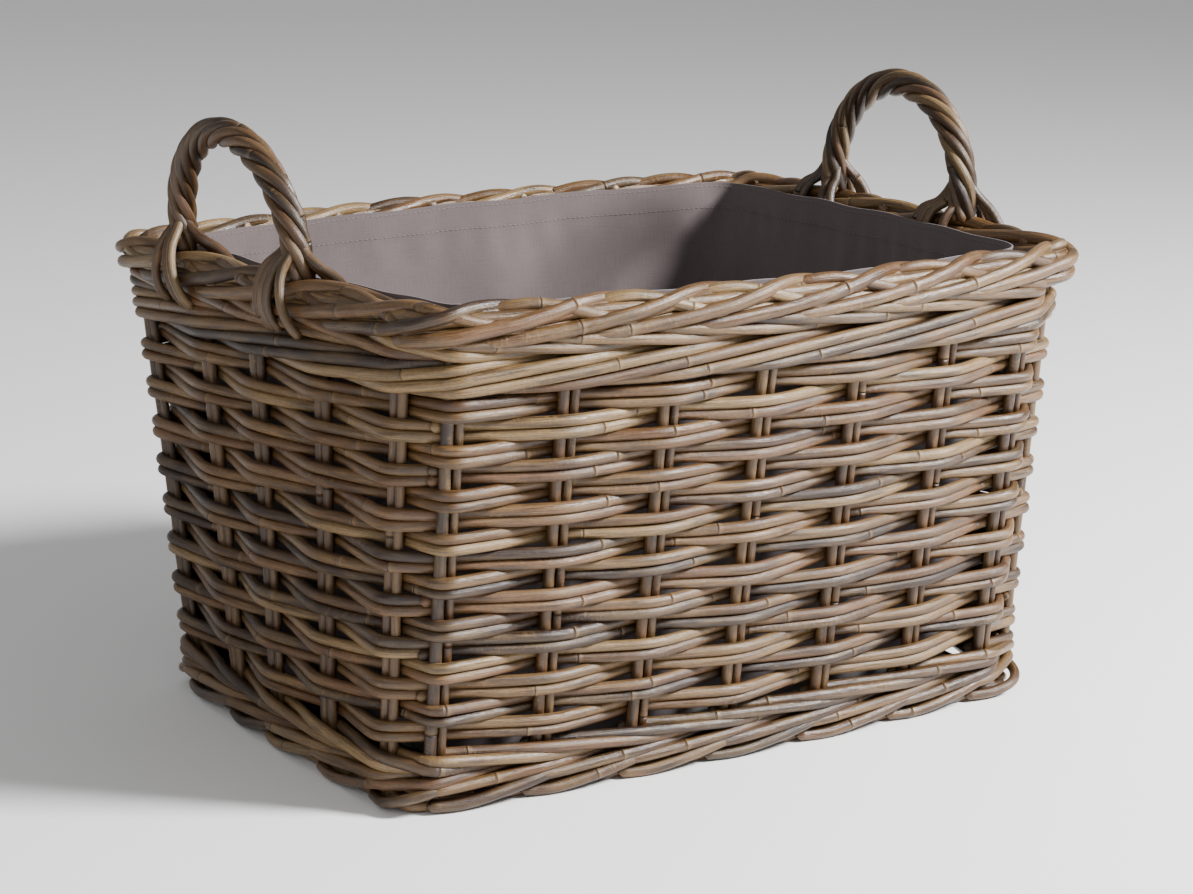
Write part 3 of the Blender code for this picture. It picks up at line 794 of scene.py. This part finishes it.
def rounded(points, count=60):
    """A smooth line through a few points."""
    points = np.asarray(points, float)
    keys = run_of(points)
    slopes = np.gradient(points, keys, axis=0)
    steps = np.linspace(0, keys[-1], count)
    index = np.clip(np.searchsorted(keys, steps, side='right') - 1, 0, len(keys) - 2)
    gap = (keys[index + 1] - keys[index])[:, None]
    t = ((steps - keys[index])[:, None]) / gap
    return ((2 * t ** 3 - 3 * t ** 2 + 1) * points[index] + (t ** 3 - 2 * t ** 2 + t) * gap * slopes[index]
            + (3 * t ** 2 - 2 * t ** 3) * points[index + 1] + (t ** 3 - t ** 2) * gap * slopes[index + 1])


# ---- Lining
LINING_TOP, LINING_BOTTOM = 0.3440, 0.0232
LINING_GROW = (-0.0245, -0.0165)
LINING_CORNER = (0.024, 0.070)           # corner radius at the top edge and lower down
LINING_BEND = 0.016                      # radius of the turn from the walls to the floor
LINING_COLUMNS = 360
CLOTH_SIDE = 0.43                        # mean length of cloth in one side, for the scale of its weave
LINING_FOLD = 0.0078                     # deepest soft fold into the bag
LINING_BULGE = 0.25                      # share of a fold that is left where it swells to the wall
LINING_PUCKER = 0.0011                   # ripple under the hem


def lining_point(turn, depth, inward=0.0):
    """Points of the cloth at a turn and a depth below its top edge."""
    z = LINING_TOP - depth
    tight, loose = LINING_CORNER
    corner = tight + (loose - tight) * np.clip(depth / 0.12, 0, 1) ** 0.8
    x, y, bulge = plan(turn, z, LINING_GROW, corner)
    nx, ny = outward(turn, z, LINING_GROW, corner)
    push = np.zeros_like(x)
    rng = np.random.default_rng(7)
    for _ in range(40):
        place, wide, tall = rng.uniform(0, 4), rng.uniform(0.025, 0.085), rng.uniform(0.05, 0.14)
        deep, lean = rng.uniform(0.04, 0.26), rng.uniform(-0.7, 0.7)
        size = rng.uniform(-1, 1) * LINING_FOLD
        gap = (turn - place - lean * (depth - deep) + 2) % 4 - 2
        push += size * np.exp(-(gap / wide) ** 2 - ((depth - deep) / tall) ** 2)
    push = np.where(push > 0, LINING_BULGE * push, push)
    pucker = np.sin(turn * 97.0 + 2.0 * np.sin(turn * 13.0)) + 0.7 * np.sin(turn * 61.0)
    push += LINING_PUCKER * pucker * np.exp(-((depth - 0.024) / 0.016) ** 2)
    near_top = np.clip(depth / 0.05, 0.15, 1)
    edge = 0.0012 * np.sin(turn * 9.0 + 1.0) + 0.0008 * np.sin(turn * 23.0)
    push = push * near_top + edge - inward
    drop = 0.5 * dip(z) * bulge * np.clip(1 - depth / 0.2, 0, 1)
    ripple = 0.0006 * np.sin(turn * 31.0) * np.clip(1 - depth / 0.04, 0, 1)
    return leaned(np.stack([x + nx * push, y + ny * push, z - drop + ripple], axis=-1), x, y, z)


class BASKET_OT_lining(Operator):
    """Cotton lining with a stitched top hem"""
    bl_idname = "basket.lining"
    bl_label = "Lining"

    def execute(self, context):
        sizes = context.scene.basket
        mat = cotton("Lining cotton", sizes.lining)
        cloth = self.cloth(sizes, mat)
        stitches = self.stitches(sizes)
        for obj in (cloth, stitches):
            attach(obj, "lining")
        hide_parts("lining")
        return {'FINISHED'}

    def walls(self, turn, sizes):
        """Rings of the bag's walls from the top edge to the start of its bend, and their depths."""
        hem = sizes.hem
        end = LINING_TOP - LINING_BOTTOM - LINING_BEND
        depths = [0.0, 0.0006, 0.002, 0.006, 0.012, 0.018, hem - 0.003, hem,
                  *np.linspace(hem + 0.004, end, 52)]
        rings = [lining_point(turn, np.full_like(turn, depth), 0.0004 if depth < hem - 0.0010 else 0.0)
                 for depth in depths]
        return rings, depths

    def bend(self, turn, low, depth):
        """Rings of the bend into the floor, below the lowest ring of the walls, and their depths."""
        rings, depths = [], []
        for k in range(1, 7):
            a = k / 6 * math.pi / 2
            ring = low - outward_stack(turn, LINING_BOTTOM) * (LINING_BEND * (1 - math.cos(a)))
            uneven = (low[:, 2] - low[:, 2].mean()) * (1 - k / 6)
            ring[:, 2] = LINING_BOTTOM + LINING_BEND * (1 - math.sin(a)) + uneven
            rings.append(ring)
            depths.append(depth + LINING_BEND * a)
        return rings, depths

    def bottom(self, centre, rim):
        """Rings of the floor, from the bend to the middle, with a slight crease."""
        rings = []
        for share in (0.93, 0.85, 0.76, 0.66, 0.55, 0.44, 0.33, 0.22, 0.11, 0.02):
            ring = centre + (rim - centre) * share
            crease = np.array([noise.noise(Vector(p) * 22.0) for p in ring])
            ring[:, 2] = LINING_BOTTOM + 0.001 * (1 + crease)
            rings.append(ring)
        return rings

    def cloth(self, sizes, mat):
        """Walls and floor of the bag as one sheet with its hem turned in."""
        turn = np.arange(LINING_COLUMNS) * 4 / LINING_COLUMNS
        walls, depths = self.walls(turn, sizes)
        bend, lower = self.bend(turn, walls[-1], depths[-1])
        floor = self.bottom(walls[-1].mean(axis=0), bend[-1])
        rings = walls + bend + floor
        none = 0 * turn
        cloth = [np.stack([turn * CLOTH_SIDE, depth + none, none], axis=1) for depth in depths + lower]
        cloth += [np.stack([ring[:, 0], ring[:, 1] + 3.0, none], axis=1) for ring in floor]
        mesh = ring_mesh("lining_cloth", rings)
        layer = mesh.attributes.new("cloth", 'FLOAT_VECTOR', 'POINT')
        layer.data.foreach_set("vector", np.concatenate(cloth).astype(np.float32).ravel())
        obj = placed("lining_cloth", mesh, mat)
        shell = obj.modifiers.new("thickness", 'SOLIDIFY')
        shell.thickness = sizes.cloth
        shell.offset = -1.0
        graph = bpy.context.evaluated_depsgraph_get()
        solid = bpy.data.meshes.new_from_object(obj.evaluated_get(graph), depsgraph=graph)
        bpy.data.objects.remove(obj)
        solid.shade_smooth()
        return placed("lining_cloth", solid)

    def stitches(self, sizes):
        """Two rows of top stitching on the hem."""
        mat, tree, shader = blank("Lining thread")
        feed(tree, shader, {"Base Color": (*[c * 1.7 for c in sizes.lining], 1.0), "Roughness": 0.8})
        turn = np.linspace(0, 4, 2400, endpoint=False)
        lines = [lining_point(turn, np.full_like(turn, d), np.full_like(turn, sizes.cloth + 0.0006))
                 for d in (0.0032, sizes.hem - 0.0022)]
        points = np.concatenate([np.concatenate([line, line[:1]]) for line in lines])
        count = len(turn) + 1
        edges = np.concatenate([np.stack([np.arange(count - 1), np.arange(1, count)], axis=1) + k * count
                                for k in range(2)])
        mesh = bpy.data.meshes.new("stitch_lines")
        mesh.from_pydata(points.tolist(), edges.tolist(), [])
        values = {"Pitch": sizes.stitch, "Length": sizes.stitch * 0.72, "Thread": 0.00062, "Material": mat}
        return grown("lining_stitches", mesh, stitch_tree(), values)


def outward_stack(turn, z):
    """Level outward directions as rows."""
    nx, ny = outward(turn, z, LINING_GROW, LINING_CORNER[1])
    return np.stack([nx, ny, 0 * nx], axis=1)


def ring_mesh(name, rings):
    """A sheet through rings of points, closed at the last one."""
    count = len(rings[0])
    faces = []
    for k in range(len(rings) - 1):
        a, b = k * count, (k + 1) * count
        faces += [(a + i, a + (i + 1) % count, b + (i + 1) % count, b + i) for i in range(count)]
    faces.append(tuple((len(rings) - 1) * count + i for i in range(count)))
    mesh = bpy.data.meshes.new(name)
    mesh.from_pydata(np.concatenate(rings).tolist(), [], faces)
    bm = bmesh.new()
    bm.from_mesh(mesh)
    bmesh.ops.recalc_face_normals(bm, faces=bm.faces)
    bm.to_mesh(mesh)
    bm.free()
    return mesh


def stitch_tree():
    """Geometry Nodes tree that lays short thread stitches along every line."""
    tree, given = open_tree("Stitches", [(name, 'Float') for name in ("Pitch", "Length", "Thread")])
    line = add_node(tree, 'GeometryNodeMeshToCurve', {"Mesh": given["Geometry"]})
    spots = add_node(tree, 'GeometryNodeCurveToPoints', {"Curve": line.outputs["Curve"],
                                                         "Length": given["Pitch"]}, mode='LENGTH')
    halves = [maths(tree, 'MULTIPLY', given["Length"], half) for half in (-0.5, 0.5)]
    start, end = (add_node(tree, 'ShaderNodeCombineXYZ', {"Z": half}) for half in halves)
    bar = add_node(tree, 'GeometryNodeCurvePrimitiveLine', {"Start": start.outputs[0], "End": end.outputs[0]})
    more = add_node(tree, 'GeometryNodeResampleCurve', {"Curve": bar.outputs["Curve"], "Count": 5})
    factor = tree.nodes.new('GeometryNodeSplineParameter').outputs["Factor"]
    hump = maths(tree, 'SINE', maths(tree, 'MULTIPLY', factor, math.pi))
    thick = maths(tree, 'MULTIPLY', maths(tree, 'MULTIPLY_ADD', hump, 0.7, 0.3),
                  maths(tree, 'MULTIPLY', given["Thread"], 0.5))
    circle = add_node(tree, 'GeometryNodeCurvePrimitiveCircle', {"Resolution": 6, "Radius": 1.0})
    thread = add_node(tree, 'GeometryNodeCurveToMesh',
                      {"Curve": more.outputs["Curve"], "Profile Curve": circle.outputs["Curve"],
                       "Scale": thick, "Fill Caps": True})
    laid = add_node(tree, 'GeometryNodeInstanceOnPoints',
                    {"Points": spots.outputs["Points"], "Instance": thread.outputs["Mesh"],
                     "Rotation": spots.outputs["Rotation"]})
    return close_tree(tree, laid.outputs["Instances"], given)


# ---- Stage
class BASKET_OT_stage(Operator):
    """Pale floor, soft lights and the camera"""
    bl_idname = "basket.stage"
    bl_label = "Stage"

    def execute(self, context):
        sizes = context.scene.basket
        scene = context.scene
        mat, tree, shader = blank("Studio floor")
        feed(tree, shader, {"Base Color": (*sizes.floor, 1.0), "Roughness": 0.9})
        bm = bmesh.new()
        bmesh.ops.create_grid(bm, x_segments=1, y_segments=1, size=6.0)
        mesh = bpy.data.meshes.new("floor")
        bm.to_mesh(mesh)
        bm.free()
        placed("floor", mesh, mat)
        world = bpy.data.worlds.new("Studio")
        scene.world = world
        world.use_nodes = True
        back = world.node_tree.nodes["Background"]
        feed(world.node_tree, back, {"Color": (1.0, 1.0, 1.0, 1.0), "Strength": DAYLIGHT})
        for name, place, size, power in LAMPS:
            data = bpy.data.lights.new(name, 'AREA')
            data.shape = 'DISK'
            data.size = size
            data.energy = power
            lamp = bpy.data.objects.new(name, data)
            scene.collection.objects.link(lamp)
            aim = Vector((0, 0, 0.2)) - Vector(place)
            lamp.location = place
            lamp.rotation_euler = aim.to_track_quat('-Z', 'Y').to_euler()
        self.camera(scene)
        return {'FINISHED'}

    def camera(self, scene):
        """Camera at the viewing angle, with a small roll."""
        turn, rise, roll = CAMERA_TURN, CAMERA_RISE, CAMERA_ROLL
        back = Vector((math.sin(turn) * math.cos(rise), -math.cos(turn) * math.cos(rise), math.sin(rise)))
        right = Vector((math.cos(turn), math.sin(turn), 0.0))
        up = back.cross(right)
        tilted = (right * math.cos(roll) + up * math.sin(roll), up * math.cos(roll) - right * math.sin(roll))
        data = bpy.data.cameras.new("camera")
        data.lens = CAMERA_LENS
        data.sensor_width = 36.0
        data.clip_start, data.clip_end = 0.05, 30.0
        cam = bpy.data.objects.new("camera", data)
        scene.collection.objects.link(cam)
        cam.matrix_world = Matrix((tilted[0], tilted[1], back)).transposed().to_4x4()
        cam.location = CAMERA_PLACE
        scene.camera = cam


STEPS = (BASKET_OT_stakes, BASKET_OT_weave, BASKET_OT_walings, BASKET_OT_rim, BASKET_OT_foot,
         BASKET_OT_base, BASKET_OT_handles, BASKET_OT_lining, BASKET_OT_stage)


class BASKET_PT_panel(Panel):
    """Sizes and building steps of the basket"""
    bl_idname = "BASKET_PT_panel"
    bl_label = "Wicker log basket"
    bl_space_type = 'VIEW_3D'
    bl_region_type = 'UI'
    bl_category = "Basket"

    def draw(self, context):
        layout = self.layout
        for name in BasketSizes.__annotations__:
            layout.prop(context.scene.basket, name)
        for step in STEPS:
            layout.operator(step.bl_idname)


def register():
    for cls in (BasketSizes, *STEPS, BASKET_PT_panel):
        bpy.utils.register_class(cls)
    bpy.types.Scene.basket = PointerProperty(type=BasketSizes)


def unregister():
    del bpy.types.Scene.basket
    for cls in reversed((BasketSizes, *STEPS, BASKET_PT_panel)):
        bpy.utils.unregister_class(cls)


def main():
    """Build every piece in order."""
    register()
    for step in STEPS:
        group, name = step.bl_idname.split(".")
        getattr(getattr(bpy.ops, group), name)()


if __name__ == "__main__":
    main()
